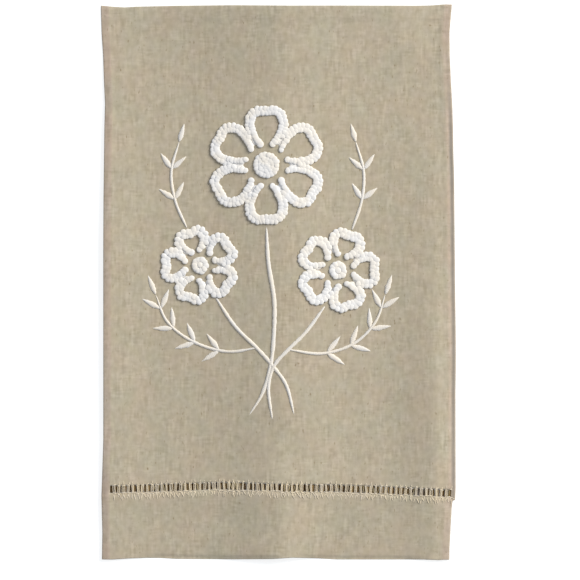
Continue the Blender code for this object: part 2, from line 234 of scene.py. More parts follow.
# Threads: their warmer and cooler tones, over what size these drift, and between which of the drift's values
# the one turns to the other.
WHITE_COTTON = ("#E0DBD1", "#DCDBD8")
SATIN_COTTON = ("#DAD3C6", "#D6D2CA")
CREAM_COTTON = ("#D5C8AE", "#CCC1AD")
# The bars' tones are lighter than the cloth they are drawn from: painted highlight.
DRAWN_FLAX_HIGHLIT = ("#CFC1A5", "#C4B8A2")
# The loose threads' tones are darker than the cloth they come from: painted shade.
LOOSE_FLAX_SHADED = ("#A89A78", "#8E8160")
THREAD_DRIFT = (16.0, 16.0, 16.0)
THREAD_TURNS = (0.4, 0.6)
# Plies: how thick one is in the embroidery cotton, and in the finer threads of the hemstitching. With this
# slant and this wave, their ridges lie about two plies apart.
EMBROIDERY_PLY = 0.9
SEWING_PLY = 0.6
PLY_SLANT = 3
PLY_WAVE = 0.3
# Frayed ends behind the slots, dark as painted shade: the tones of the near and the deep ones, the size of
# their drift, which runs only across the towel, and between which of its values deep turns to near.
NEAR_FRINGE_SHADE = "#96805A"
DEEP_FRINGE_SHADE = "#402D14"
FRINGE_SHADE_DRIFT = (4.0, math.inf, math.inf)
FRINGE_SHADE_TURNS = (0.42, 0.66)
# The board under the towel: its colour, and how strongly it is lit from behind.
BOARD = "#A2A5A5"
BOARD_GLOW = 0.74
# Finishes: what differs from the shader's own values, and how far weave and plies stand out.
LINEN_FINISH = {"Roughness": 0.9, "Specular IOR Level": 0.25, "Sheen Weight": 0.15, "Sheen Roughness": 0.5}
COTTON_FINISH = {"Roughness": 0.75, "Specular IOR Level": 0.2, "Sheen Weight": 0.1}
FLAX_FINISH = {"Roughness": 0.9, "Specular IOR Level": 0.1}
BOARD_FINISH = {"Roughness": 0.8, "Emission Color": (1, 1, 1, 1), "Emission Strength": BOARD_GLOW}
RELIEF = {"Strength": 0.2, "Distance": 0.3 * MM}
# The linen's unevenness: its size across, up and through the towel, what is read of it and as what it shows.
# Threads lie 0.8 mm apart. They are drawn about 2 mm apart, so that they show from a step away.
LINEN_FIELDS = {
    # field   size across, up, through  read from  to   shown from  to
    "wefts": ((10.0, 2.2, 2.2), 0.0, 1.0, -0.3, 0.3),
    "warps": ((2.7, 17.0, 2.4), 0.0, 1.0, -0.42, 0.42),
    "slubs": ((11.0, 14.0, 12.0), 0.38, 0.62, 0.1, 2.1),
    "mottle": ((4.8, 6.4, 5.0), 0.0, 1.0, -0.12, 1.12),
    "rosy": ((26.0, 32.0, 30.0), 0.3, 0.7, 0.0, 1.0),
    "straw": ((9.0, 11.0, 10.0), 0.3, 0.7, 0.0, 1.0),
    "flecks": ((2.0, 5.0, 2.2), 0.69, 0.84, 0.0, 1.0),
}

SEED = 11
uneven = np.random.default_rng(SEED)


# ---------------------------------------------------------------- tables and lines
def lookup(table, at):
    """The second column of a table, read between its rows."""
    places, values = zip(*table)
    return np.interp(at, places, values)


def left(y):
    """The left edge's place across, at this height up the towel."""
    return lookup(LEFT_EDGE, y) - WIDTH / 2


def right(y):
    """The right edge's place across, at this height up the towel."""
    return WIDTH / 2 - lookup(RIGHT_EDGE, y)


def top(x):
    """The top edge's height up the towel, at this place across."""
    return LENGTH / 2 - lookup(TOP_EDGE, x)


def bottom(x):
    """The bottom edge's height up the towel, at this place across."""
    return lookup(BOTTOM_EDGE, x) - LENGTH / 2


def row(x):
    """The height up the towel of the hemstitch row's middle, at this place across."""
    return lookup(ROW_LINE, x)


def distances(line):
    """How far along a line each of its points lies."""
    return np.concatenate([[0], np.cumsum(np.linalg.norm(np.diff(line, axis=0), axis=1))])


def evenly(line, step):
    """A line again, with its points about step apart."""
    run = distances(line)
    at = np.linspace(0, run[-1], max(2, round(run[-1] / step) + 1))
    return np.column_stack([np.interp(at, run, column) for column in line.T])


def smooth_line(points, step):
    """A smooth curve through a few points."""
    p = np.array(points, float)
    p = np.vstack([2 * p[0] - p[1], p, 2 * p[-1] - p[-2]])
    t = np.arange(CURVE_STEPS)[:, None] / CURVE_STEPS
    pieces = [
        0.5 * (2 * b + (c - a) * t + (2 * a - 5 * b + 4 * c - d) * t**2 + (3 * b - a - 3 * c + d) * t**3)
        for a, b, c, d in zip(p, p[1:], p[2:], p[3:])
    ]
    return evenly(np.vstack([*pieces, p[-2:-1]]), step)


def sideways(line):
    """The level direction to the left of a line, at each of its points."""
    along = np.gradient(line[:, :2], axis=0)
    return np.column_stack([-along[:, 1], along[:, 0]]) / np.linalg.norm(along, axis=1)[:, None]


def petal(x, y, foot, tip, turn, width, step):
    """A petal's outline, from one side of its foot round the notched tip to the other."""
    t = np.linspace(PETAL_FOOT, 1 - PETAL_FOOT, PETAL_STEPS) * 2 * math.pi
    share = (1 - np.cos(t)) / 2
    along = foot + (tip - foot) * share - PETAL_NOTCH * np.exp(-(((t - math.pi) / NOTCH_SPREAD) ** 2))
    bulge = np.sin(t) * (1 - PETAL_TAPER + PETAL_TAPER * share)
    across = width / 2 * bulge / bulge.max()
    c, s = math.cos(math.radians(turn)), math.sin(math.radians(turn))
    return evenly(np.column_stack([x + along * c - across * s, y + along * s + across * c]), step)


# ---------------------------------------------------------------- the cloth's surface
def hump(offset, reach):
    """A smooth rise: 1 at its middle and level again, exactly 0, from reach outwards."""
    return np.cos(np.clip(np.abs(offset) / reach, 0, 1) * math.pi / 2) ** 2


def inward(x, y):
    """How far in from the nearer side edge a place lies."""
    return np.minimum(x - left(y), right(y) - x)


def underside(x, y):
    """How high the cloth lies off the surface: 0 in the hollows between its folds, where it rests."""
    row_lift = ROW_LIFT * hump(y - row(x), ROW_LIFT_REACH)
    rise = row_lift * np.clip(inward(x, y) / ROW_LIFT_FADE, 0, 1)
    for crest, height, reach_left, reach_right in FOLDS:
        offset = x - np.interp(y, STATIONS, crest)
        reach = np.where(offset < 0, np.interp(y, STATIONS, reach_left), np.interp(y, STATIONS, reach_right))
        share = np.clip(np.abs(offset) / reach, 0, 1) ** FOLD_SHARPNESS
        rise = rise + np.interp(y, STATIONS, height) * hump(share, 1)
    return rise


def step_down(depth, hem, step=HEM_STEP):
    """1 on a hem this wide, falling to 0 just past it."""
    return np.clip((hem + step - depth) / step, 0, 1)


def thickness(x, y):
    """The cloth's thickness with the layers turned under at its hems, rounded down at its edges."""
    from_side, from_top = inward(x, y), top(x) - y
    past_deep_hem = y - row(x) + HEM_BELOW_ROW
    deep_hem = step_down(past_deep_hem, 0)
    layers = step_down(from_side, SIDE_HEM, SIDE_STEP) + step_down(from_top, TOP_HEM, TOP_STEP) + deep_hem
    inside = np.clip(np.minimum(from_side, np.minimum(y - bottom(x), from_top)) / EDGE_ROUND, 0, 1)
    rounded = EDGE_THIN + (1 - EDGE_THIN) * np.sqrt(1 - (1 - inside) ** 2)
    return (LAYER + TURNED_LAYER * layers) * rounded


def edge_forms(x, y):
    """How far the pressed edges stand above or below the even face."""
    depth = {"bottom": y - bottom(x), "top": top(x) - y, "left": x - left(y), "right": right(y) - x}
    along = {"bottom": x, "top": x, "left": y, "right": y}
    form = np.zeros_like(x)
    for edge, inset, rise, half, start, end, fade_in, fade_out in EDGE_FORMS:
        span = np.minimum((along[edge] - start) / fade_in, (end - along[edge]) / fade_out)
        form += rise * np.clip(span, 0, 1) * hump(depth[edge] - inset, half)
    return form


def lower_face(x, y):
    """Height of the cloth's under face, without its crinkles."""
    return np.maximum(underside(x, y) + edge_forms(x, y), 0)


def face(x, y):
    """Height of the cloth's upper face, without its crinkles."""
    pressed = thickness(x, y) + np.minimum(underside(x, y) + edge_forms(x, y), 0)
    return lower_face(x, y) + np.maximum(pressed, LAYER * EDGE_THIN)


def crinkles(x, y):
    """Small uneven waves, where the cloth is off the surface and free to take them."""
    across, along = CRINKLE_SPAN
    waves = np.array([noise.noise(Vector((px / across, py / along, 0))) for px, py in zip(x, y)])
    return CRINKLE * waves * np.clip(underside(x, y), 0, 1)


def on_face(points, above=0.0):
    """Level points raised to the cloth's face, or that far above it."""
    x, y = np.array(points, float).T
    return np.column_stack([x, y, face(x, y) + above])


# ---------------------------------------------------------------- making pieces
# Laid thread: the sides of its round, how far it sinks in, and how close two points are one.
THREAD_SIDES = 8
THREAD_SUNK = 0.3
SAME_POINT = 1e-5


def hex_colour(text):
    """A linear colour from an sRGB hex value."""
    shares = [int(text[i:i + 2], 16) / 255 for i in (1, 3, 5)]
    return tuple(c / 12.92 if c <= 0.04045 else ((c + 0.055) / 1.055) ** 2.4 for c in shares)


def piece(name, bm, material):
    """A bmesh in millimetres made into an object of the part, at the origin."""
    bmesh.ops.scale(bm, vec=(MM, MM, MM), verts=bm.verts)
    mesh = bpy.data.meshes.new(name)
    bm.to_mesh(mesh)
    bm.free()
    mesh.shade_smooth()
    mesh.materials.append(material)
    made = bpy.data.objects.new(name, mesh)
    bpy.context.scene.collection.objects.link(made)
    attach(made, "root")
    return made


def add(bm, part):
    """A small finished bmesh added to a larger one."""
    mesh = bpy.data.meshes.new("part")
    part.to_mesh(mesh)
    part.free()
    bm.from_mesh(mesh)
    bpy.data.meshes.remove(mesh)


def laid(bm, line, widths, rise, sides=THREAD_SIDES, sink=THREAD_SUNK):
    """A closed spindle of thread along a line of points: domed above it and sunk a little under it."""
    part = bmesh.new()
    uv = part.loops.layers.uv.verify()
    count = len(line) - 1
    bmesh.ops.create_grid(part, x_segments=count, y_segments=sides, size=0.5)
    aside, run = sideways(line), distances(line)
    rise = np.broadcast_to(rise, len(line))
    for f in part.faces:
        for loop in f.loops:
            at = loop.vert.co
            loop[uv].uv = (run[round((at.x + 0.5) * count)], at.y)
    for v in part.verts:
        i = round((v.co.x + 0.5) * count)
        angle = 2 * math.pi * (v.co.y + 0.5)
        out = aside[i] * widths[i] / 2 * math.cos(angle)
        up = math.sin(angle) * (rise[i] if math.sin(angle) > 0 else min(sink, widths[i]))
        v.co = (line[i][0] + out[0], line[i][1] + out[1], line[i][2] + up)
    bmesh.ops.remove_doubles(part, verts=part.verts, dist=SAME_POINT)
    bmesh.ops.recalc_face_normals(part, faces=part.faces)
    add(bm, part)


# ---------------------------------------------------------------- materials
def node(tree, kind, settings=None, **links):
    """A node with its settings, and its inputs set to values or linked from other nodes' outputs.

    An input is named with underscores for spaces, or by an underscore and its place among the inputs.
    """
    made = tree.nodes.new(kind)
    for name, value in (settings or {}).items():
        setattr(made, name, value)
    for name, value in links.items():
        key = int(name[1:]) if name[0] == "_" and name[1:].isdigit() else name.replace("_", " ")
        if isinstance(value, bpy.types.NodeSocket):
            tree.links.new(value, made.inputs[key])
        else:
            made.inputs[key].default_value = value
    return made


def material(name, finish):
    """A new material, its node tree and its shader, with this finish."""
    made = bpy.data.materials.new(name)
    made.use_nodes = True
    shader = made.node_tree.nodes["Principled BSDF"]
    for key, value in finish.items():
        shader.inputs[key].default_value = value
    return made, made.node_tree, shader


def drifting(tree, sizes, low, high, least=0.0, most=1.0):
    """A value that drifts over a piece in patches of these sizes: low to high shows as least to most."""
    place = node(tree, "ShaderNodeTexCoord").outputs["Object"]
    spread = node(tree, "ShaderNodeMapping", Vector=place, Scale=[1 / (size * MM) for size in sizes])
    drift = node(tree, "ShaderNodeTexNoise", Vector=spread.outputs[0], Scale=1, Detail=1).outputs["Fac"]
    limits = {"From_Min": low, "From_Max": high, "To_Min": least, "To_Max": most}
    return node(tree, "ShaderNodeMapRange", Value=drift, **limits).outputs[0]


def between(tree, share, first, second):
    """A colour between two sRGB hex values: the first at share 0, the second at 1."""
    ends = {"_6": (*hex_colour(first), 1), "_7": (*hex_colour(second), 1)}
    return node(tree, "ShaderNodeMix", {"data_type": "RGBA"}, _0=share, **ends).outputs[2]


def slubby_linen():
    """Unbleached linen, woven plain from unevenly spun flax.

    It gives the eye a matt, heathered face: thick and thin threads both ways, small dark flecks of stalk,
    and a tone that drifts between rosy and straw. Hems are a little warmer. A strip along the right hem's
    roll is painted greyer and darker: painted shade.
    """
    made, tree, shader = material("slubby_linen", LINEN_FINISH)
    fields = {name: drifting(tree, *values) for name, values in LINEN_FIELDS.items()}
    for name in ("hem", "rolled_hem_shade"):
        fields[name] = node(tree, "ShaderNodeAttribute", {"attribute_name": name}).outputs["Fac"]
    woven = node(tree, "ShaderNodeMath", {"operation": "ADD"}, _0=fields["wefts"], _1=fields["warps"])
    slubby = node(tree, "ShaderNodeMath", {"operation": "MULTIPLY"}, _0=woven.outputs[0], _1=fields["slubs"])
    light = node(tree, "ShaderNodeMath", {"operation": "ADD"}, _0=slubby.outputs[0], _1=fields["mottle"])
    colour = (*hex_colour(LINEN_DARK), 1)
    for share, blend, tone in (
        (light.outputs[0], "MIX", hex_colour(LINEN_LIGHT)),
        (fields["rosy"], "MULTIPLY", ROSY_TINT),
        (fields["straw"], "MULTIPLY", STRAW_TINT),
        (fields["hem"], "MULTIPLY", HEM_TINT),
        (fields["flecks"], "MIX", hex_colour(LINEN_FLECK)),
        # Painted shade along the right hem's roll.
        (fields["rolled_hem_shade"], "MIX", hex_colour(ROLL_SHADE_GREY)),
    ):
        settings = {"data_type": "RGBA", "blend_type": blend}
        colour = node(tree, "ShaderNodeMix", settings, _0=share, _6=colour, _7=(*tone, 1)).outputs[2]
    tree.links.new(colour, shader.inputs["Base Color"])
    bump = node(tree, "ShaderNodeBump", Height=woven.outputs[0], **RELIEF)
    tree.links.new(bump.outputs[0], shader.inputs["Normal"])
    return made


def cotton_thread(name, warm, cool, ply):
    """Cotton or flax thread, spun in plies and twisted together.

    It gives the eye a soft lustre without a glint, a tone that drifts from warm to cool, and faint slanting
    ridges where its plies turn, about two plies apart along it.
    """
    made, tree, shader = material(name, COTTON_FINISH)
    tone = between(tree, drifting(tree, THREAD_DRIFT, *THREAD_TURNS), warm, cool)
    tree.links.new(tone, shader.inputs["Base Color"])
    wound = node(tree, "ShaderNodeUVMap").outputs[0]
    turns = node(tree, "ShaderNodeMapping", Vector=wound, Scale=(1 / ply, PLY_SLANT, 1)).outputs[0]
    plies = node(tree, "ShaderNodeTexWave", {"bands_direction": "DIAGONAL"}, Vector=turns, Scale=PLY_WAVE)
    bump = node(tree, "ShaderNodeBump", Height=plies.outputs["Fac"], **RELIEF)
    tree.links.new(bump.outputs[0], shader.inputs["Normal"])
    return made


def frayed_flax_painted_shade():
    """Frayed flax, neither spun nor bleached.

    Its dull brown, deepening from slot to slot, is painted shade.
    """
    made, tree, shader = material("frayed_flax_painted_shade", FLAX_FINISH)
    tone = between(tree, drifting(tree, FRINGE_SHADE_DRIFT, *FRINGE_SHADE_TURNS), DEEP_FRINGE_SHADE, NEAR_FRINGE_SHADE)
    tree.links.new(tone, shader.inputs["Base Color"])
    return made


linen = slubby_linen()
white_cotton = cotton_thread("white_embroidery_cotton", *WHITE_COTTON, EMBROIDERY_PLY)
satin_cotton = cotton_thread("off_white_stranded_cotton", *SATIN_COTTON, EMBROIDERY_PLY)
cream_cotton = cotton_thread("cream_sewing_cotton", *CREAM_COTTON, SEWING_PLY)
# The bars are painted lighter than the cloth: painted highlight.
highlit_bar_flax = cotton_thread("drawn_flax_threads_painted_highlight", *DRAWN_FLAX_HIGHLIT, SEWING_PLY)
# The loose threads are painted darker than the cloth: painted shade.
shaded_loose_flax = cotton_thread("loose_flax_threads_painted_shade", *LOOSE_FLAX_SHADED, SEWING_PLY)
# Dark flax behind the slots: painted shade.
fringe_shade_flax = frayed_flax_painted_shade()


# ---------------------------------------------------------------- the cloth
def slot_middles():
    """Where the slots stand across the towel, a little wider apart towards the right."""
    pitch = np.linspace(FIRST_PITCH, LAST_PITCH, SLOTS - 1)
    return FIRST_SLOT + np.concatenate([[0], np.cumsum(pitch)])


# The sheet's lines, close where its form changes: in from each side, down from the top, up from the bottom,
# at the deep hem's fold below the row, above the row, and evenly in between.
EDGE_LINES = (0.0, 0.3, 0.9, 1.7, 2.6, 3.5, 4.4, 5.3, 6.2, SIDE_HEM, SIDE_HEM + HEM_STEP)
TOP_LINES = (0.0, 0.3, 0.8, 1.5, 2.4, 3.2, 4.0, 4.9, 6.0, 7.5, 8.7, 9.6, 10.5, 11.4, 12.4, 13.4, 14.4, 15.4)
BOTTOM_LINES = (0.0, 0.3, 0.8, 1.5, 2.3, 3.1, 4.0, 4.9, 5.8, 7.0)
FOLD_LINES = (7.8, 7.0, 6.3, HEM_BELOW_ROW - HEM_STEP, SLOT_HEIGHT / 2)
OVER_LINES = (SLOT_HEIGHT / 2, 5.0, 7.0)
BODY_STEP = 2.9
# The evenly spaced lines end at least this far from the next one, and the sides' lines from the outer slots.
LINE_CLEAR = 1.5
SLOT_CLEAR = 0.3
# How far past the deep hem's edge the sheet's lines follow the row fully, how far in from an end or a side
# they follow it fully, and where a side no longer moves them.
ROW_KEPT = 2.0
EDGE_KEPT = 16.0
SIDE_KEPT = 7.0
SIDE_FADE = 45.0
# The painted shade along the right hem's roll: its middle's inset, its reach to each side, from and to up
# the towel, what its top fades over and how much it shows.
ROLL_SHADE_INSET = 2.4
ROLL_SHADE_WIDTH = 4.0
ROLL_SHADE_FROM = -219.8
ROLL_SHADE_TO = 205.0
ROLL_SHADE_FADE = 60.0
ROLL_SHADE_SHOWN = 0.5


def sheet_columns():
    """Places across the sheet at the hemstitch row: its edges, its hems and both sides of each slot."""
    low, high = left(ROW_LEVEL), right(ROW_LEVEL)
    middles = slot_middles()
    first, last = middles[0] - SLOT_WIDTH / 2, middles[-1] + SLOT_WIDTH / 2
    sides = np.sort(np.concatenate([middles - SLOT_WIDTH / 2, middles + SLOT_WIDTH / 2]))
    left_lines = [low + at for at in EDGE_LINES if low + at < first - SLOT_CLEAR]
    right_lines = [high - at for at in EDGE_LINES if high - at > last + SLOT_CLEAR]
    return np.array([*left_lines, *sides, *right_lines[::-1]])


def sheet_rows():
    """Levels up the sheet: its rounded ends, the deep hem's fold, the slots and the top hem."""
    end = LENGTH / 2
    low = [at - end for at in BOTTOM_LINES]
    fold = [ROW_LEVEL - at for at in FOLD_LINES]
    over = [ROW_LEVEL + at for at in OVER_LINES]
    high = [end - at for at in TOP_LINES[::-1]]
    band = np.arange(low[-1] + BODY_STEP, fold[0] - LINE_CLEAR, BODY_STEP)
    body = np.arange(over[-1] + BODY_STEP, high[0] - LINE_CLEAR, BODY_STEP)
    return np.array([*low, *band, *fold, *over, *body, *high])


def sheet_place(columns, rows):
    """Where each crossing of a row and a column lies, following the uneven edges and the wandering row."""
    end = LENGTH / 2
    near_row = HEM_BELOW_ROW + ROW_KEPT
    by_row = (ROW_LEVEL - near_row, ROW_LEVEL + near_row)
    ends = (EDGE_KEPT - end, *by_row, end - EDGE_KEPT)
    x, level = np.meshgrid(columns, rows, indexing="ij")
    y = level + (bottom(x) + end) * np.interp(level, ends, (1, 0, 0, 0))
    y += (row(x) - ROW_LEVEL) * np.interp(level, ends, (0, 1, 1, 0))
    y += (top(x) - end) * np.interp(level, ends, (0, 0, 0, 1))
    low, high = columns[0], columns[-1]
    sides = (low + SIDE_KEPT, low + SIDE_FADE, high - SIDE_FADE, high - SIDE_KEPT)
    moved = (left(y) - low) * np.interp(x, sides, (1, 0, 0, 0))
    moved += (right(y) - high) * np.interp(x, sides, (0, 0, 0, 1))
    return x + moved, y


def hem_share(x, y):
    """1 on the side hems, whose turned layers warm the cloth's tone, and 0 elsewhere."""
    return step_down(inward(x, y), SIDE_HEM)


def right_hem_shade_share(x, y):
    """How strongly the painted shade along the right hem's roll shows."""
    span = np.minimum((y - ROLL_SHADE_FROM) / HEM_STEP, (ROLL_SHADE_TO - y) / ROLL_SHADE_FADE)
    return ROLL_SHADE_SHOWN * np.clip(span, 0, 1) * hump(right(y) - x - ROLL_SHADE_INSET, ROLL_SHADE_WIDTH)


def drawn_faces(bm, columns, rows):
    """The faces of the row's band from the first slot to the last, where the cloth's wefts are drawn out."""
    across, along = len(columns) - 1, len(rows) - 1
    middles = slot_middles()
    drawn = []
    for f in bm.faces:
        at = f.calc_center_median()
        i, j = int((at.x + 0.5) * across), int((at.y + 0.5) * along)
        x, y = (columns[i] + columns[i + 1]) / 2, (rows[j] + rows[j + 1]) / 2
        in_row = abs(y - ROW_LEVEL) < SLOT_HEIGHT / 2
        if in_row and middles[0] - SLOT_WIDTH < x < middles[-1] + SLOT_WIDTH:
            drawn.append(f)
    return drawn


def cloth():
    """The whole towel in one sheet of real thickness, its hemstitch row drawn open between the side hems."""
    columns, rows = sheet_columns(), sheet_rows()
    x, y = sheet_place(columns, rows)
    across, along = len(columns) - 1, len(rows) - 1
    bm = bmesh.new()
    bmesh.ops.create_grid(bm, x_segments=across, y_segments=along, size=0.5)
    drawn = drawn_faces(bm, columns, rows)
    for v in bm.verts:
        i, j = round((v.co.x + 0.5) * across), round((v.co.y + 0.5) * along)
        v.co = (x[i, j], y[i, j], 0)
    bmesh.ops.delete(bm, geom=drawn, context="FACES")
    made = bmesh.ops.extrude_face_region(bm, geom=bm.faces[:])
    upper = {v for v in made["geom"] if isinstance(v, bmesh.types.BMVert)}
    x, y = np.array([v.co[:2] for v in bm.verts]).T
    for v, low, high, wave in zip(bm.verts, lower_face(x, y), face(x, y), crinkles(x, y)):
        v.co.z = (high if v in upper else low) + wave
    bmesh.ops.recalc_face_normals(bm, faces=bm.faces)
    # The side hems' tint, and the painted shade along the right hem's roll.
    for name, shares in (("hem", hem_share(x, y)), ("rolled_hem_shade", right_hem_shade_share(x, y))):
        layer = bm.verts.layers.float.new(name)
        for v, share in zip(bm.verts, shares):
            v[layer] = share
    return piece("hemmed_linen", bm, linen)


# ---------------------------------------------------------------- the hemstitching
# A strand: its size, how far it runs past the row's middle, the sides of its round and its points.
STRAND = 0.92
STRAND_REACH = SLOT_HEIGHT / 2 + 1.6
STRAND_SIDES = 5
STRAND_STEPS = 5
# A bar: how far each of its strands lies from its middle, their points, how far it leans and its strands
# stray, how high over the under face they lie, and shares for how wide it is spread and how thick they are.
BAR_STRANDS = (-0.78, 0.05, 0.84)
BAR_STEPS = 8
BAR_LEAN = 0.55
BAR_STRAY = 0.3
BAR_ABOVE = (0.29, 0.54)
BAR_SPREAD = (0.65, 1.5)
BAR_SIZES = (0.8, 1.15)
# The frayed ends behind each slot, dark as painted shade: how many, their size, over what width, how far
# past the row's middle, how far under the cloth's under face, how far they stray, and shares for how thick
# they are.
FRINGE_PER_SLOT = 7
FRINGE_SIZE = 0.85
FRINGE_SPREAD = 4.4
FRINGE_REACH = SLOT_HEIGHT / 2 + 1.8
FRINGE_BELOW = 0.6
FRINGE_STRAY = 0.15
FRINGE_SIZES = (0.9, 1.15)
# Loose threads across slots: the share of slots with one, their size, shares for how thick they are, how far
# they slant to each side and how high they lie.
LOOSE_SHARE = 0.22
LOOSE_SIZE = 0.7
LOOSE_SIZES = (0.8, 1.6)
LOOSE_SLANT = (0.6, 1.8)
LOOSE_ABOVE = 0.39
# Stitches, all from a bar's middle at the slot's end: where each starts and ends, its width and its stray.
UPPER_STITCHES = (
    ((-1.2, 0.1), (1.2, -0.2), 0.9, 1.7),
    ((0.0, -0.4), (0.2, 2.8), 0.65, 1.3),
)
LOWER_STITCHES = (
    ((-2.3, -0.3), (2.3, -0.7), 0.9, 1.7),
    ((-0.3, -1.0), (-2.1, -6.6), 0.8, 2.2),
    ((0.3, -1.0), (2.1, -6.2), 0.8, 2.2),
)
# A stitch's arch: share of its length, then height over the cloth. Its taper: share of its length, then of
# its width.
STITCH_ARCH = ((0, -0.3), (0.06, -0.1), (0.3, 0.12), (0.7, 0.12), (0.94, -0.1), (1, -0.3))
STITCH_TAPER = ((0, 0), (0.06, 0.7), (0.3, 1), (0.7, 1), (0.94, 0.7), (1, 0))
# Its thickness over the arch, the sides of its round, shares for how wide it is, and how far inside the
# cloth's side edges it stays.
STITCH_RISE = 0.35
STITCH_SIDES = 6
STITCH_SIZES = (0.8, 1.15)
STITCH_INSET = 1.0


def bar_middles():
    """Where the bars stand across the towel: between each two slots."""
    middles = slot_middles()
    return (middles[:-1] + middles[1:]) / 2


def strand(bm, start, end, z_above, size, steps=STRAND_STEPS, bow=0.0):
    """One thread hung between two points and bowed sideways, this high over the cloth's under face."""
    up = np.linspace(-1, 1, steps)
    share = (up + 1) / 2
    x = start[0] + share * (end[0] - start[0]) + bow * (1 - up**2)
    y = start[1] + share * (end[1] - start[1])
    z = np.maximum(underside(x, y) + z_above, size / 2)
    widths = size * np.concatenate([[0], np.ones(steps - 2), [0]])
    laid(bm, np.column_stack([x, y, z]), widths, widths / 2, sides=STRAND_SIDES, sink=size / 2)


def bars():
    """The drawn linen threads, bundled three by three into the ladder's bars, none quite like the next."""
    bm = bmesh.new()
    for x in bar_middles():
        lean, shift = uneven.uniform(-BAR_LEAN, BAR_LEAN), uneven.uniform(-BAR_STRAY, BAR_STRAY)
        for offset in uneven.uniform(*BAR_SPREAD) * np.array(BAR_STRANDS):
            foot = x + shift + offset + uneven.uniform(-BAR_STRAY, BAR_STRAY) - lean
            tip = x + shift + offset + uneven.uniform(-BAR_STRAY, BAR_STRAY) + lean
            above = uneven.uniform(*BAR_ABOVE)
            size = STRAND * uneven.uniform(*BAR_SIZES)
            low, high = (foot, row(x) - STRAND_REACH), (tip, row(x) + STRAND_REACH)
            strand(bm, low, high, above, size, BAR_STEPS, uneven.uniform(-BAR_STRAY, BAR_STRAY))
    # Their tone, lighter than the cloth's, is painted highlight.
    return piece("drawn_thread_bars", bm, highlit_bar_flax)


def loose_threads():
    """Threads that cross a slot on the slant, where a bundle was caught unevenly."""
    bm = bmesh.new()
    for x in slot_middles():
        if uneven.uniform() > LOOSE_SHARE:
            continue
        slant = uneven.choice((-1, 1)) * uneven.uniform(*LOOSE_SLANT)
        low, high = (x - slant, row(x) - STRAND_REACH), (x + slant, row(x) + STRAND_REACH)
        strand(bm, low, high, LOOSE_ABOVE, LOOSE_SIZE * uneven.uniform(*LOOSE_SIZES))
    # Their tone, darker than the cloth's, is painted shade.
    return piece("loose_drawn_threads", bm, shaded_loose_flax)


def fringe():
    """Dark frayed ends behind the ladder that close its slots: painted shade where the board would show."""
    bm = bmesh.new()
    for x in slot_middles():
        for offset in np.linspace(-0.5, 0.5, FRINGE_PER_SLOT) * FRINGE_SPREAD:
            foot, tip = x + offset + uneven.uniform(-FRINGE_STRAY, FRINGE_STRAY, 2)
            low, high = (foot, row(x) - FRINGE_REACH), (tip, row(x) + FRINGE_REACH)
            strand(bm, low, high, -FRINGE_BELOW, FRINGE_SIZE * uneven.uniform(*FRINGE_SIZES))
    return piece("dark_fringe_painted_shade", bm, fringe_shade_flax)


def stitch(bm, start, end, width):
    """One short stitch lying over the cloth, its ends going down into it."""
    share = np.array([at for at, _ in STITCH_ARCH])
    line = on_face(np.array(start) + share[:, None] * (np.array(end) - np.array(start)))
    line[:, 2] += lookup(STITCH_ARCH, share)
    laid(bm, line, width * lookup(STITCH_TAPER, share), STITCH_RISE, sides=STITCH_SIDES)


def hemstitches():
    """The sewing along the ladder: a wrap and a tail over each bar, a line under it and a V into the hem."""
    bm = bmesh.new()
    for x in [*bar_middles(), slot_middles()[-1] + LAST_PITCH / 2]:
        for level, stitches in ((SLOT_HEIGHT / 2, UPPER_STITCHES), (-SLOT_HEIGHT / 2, LOWER_STITCHES)):
            for start, end, width, stray in stitches:
                at = np.array([x, row(x) + level])
                start = at + start + uneven.uniform(-stray, stray, 2) / 2
                end = at + end + uneven.uniform(-stray, stray, 2)
                inside = left(end[1]) + STITCH_INSET, right(end[1]) - STITCH_INSET
                start[0], end[0] = np.clip([start[0], end[0]], *inside)
                stitch(bm, start, end, width * uneven.uniform(*STITCH_SIZES))
    return piece("hemstitch_sewing", bm, cream_cotton)


# ---------------------------------------------------------------- the posy
def petal_lines(blossom, step):
    """The middle lines of the bands that a blossom's petals are worked in, their points about step apart."""
    x, y, radius, reach, petals, turn, width, band = blossom
    turns = turn + 360 / petals * np.arange(petals)
    return [petal(x, y, radius + PETAL_GAP, reach - band / 2, at, width - band, step) for at in turns]


def heart_knots(x, y, radius):
    """Where a heart's knots stand and how high they are lifted: one in the middle, the rest in rings."""
    places = [(x, y, PADDING_RISE)]
    for ring in np.arange(radius - KNOT / 2 + HEART_OVER, KNOT_ROWS / 2, -KNOT_ROWS):
        around = round(2 * math.pi * ring / KNOT_PITCH)
        for a in np.arange(around) / around * 2 * math.pi + ring:
            places.append((x + ring * math.cos(a), y + ring * math.sin(a), PADDING_RISE * HEART_FULL))
    return places


def petal_knots(line, band):
    """Where the knots along a petal's middle line stand, in rows that fill its band, and how high."""
    out, ahead = -sideways(line), np.gradient(line, axis=0)
    share = np.linspace(0, 1, len(line))
    rows = round(band / KNOT_ROWS)
    places = []
    for r in range(rows):
        offset = ((rows - 1) / 2 - r) * KNOT_ROWS
        lift = PADDING_RISE * math.sqrt(max(BAND_DOME, 1 - (2 * offset / band) ** 2))
        shifted = line + out * offset + (r % 2) * ahead / 2
        # Only the inner row stops short of the line's ends. The others are kept whole.
        kept_from = INNER_ROW_SHORT if r == rows - 1 else -1
        places += [(*p, lift) for p, s in zip(shifted, share) if kept_from < s < 1 - kept_from]
    return places


def knot_places():
    """Where every knot of the blossoms stands and how high it is lifted, but for those too near another."""
    places = []
    for blossom in BLOSSOMS:
        x, y, radius, *_, band = blossom
        places += heart_knots(x, y, radius)
        for line in petal_lines(blossom, KNOT_PITCH):
            places += petal_knots(line, band)
    kept = []
    for p in places:
        if all(math.dist(p[:2], other[:2]) > KNOT_CLEAR for other in kept):
            kept.append(p)
    return np.array(kept)


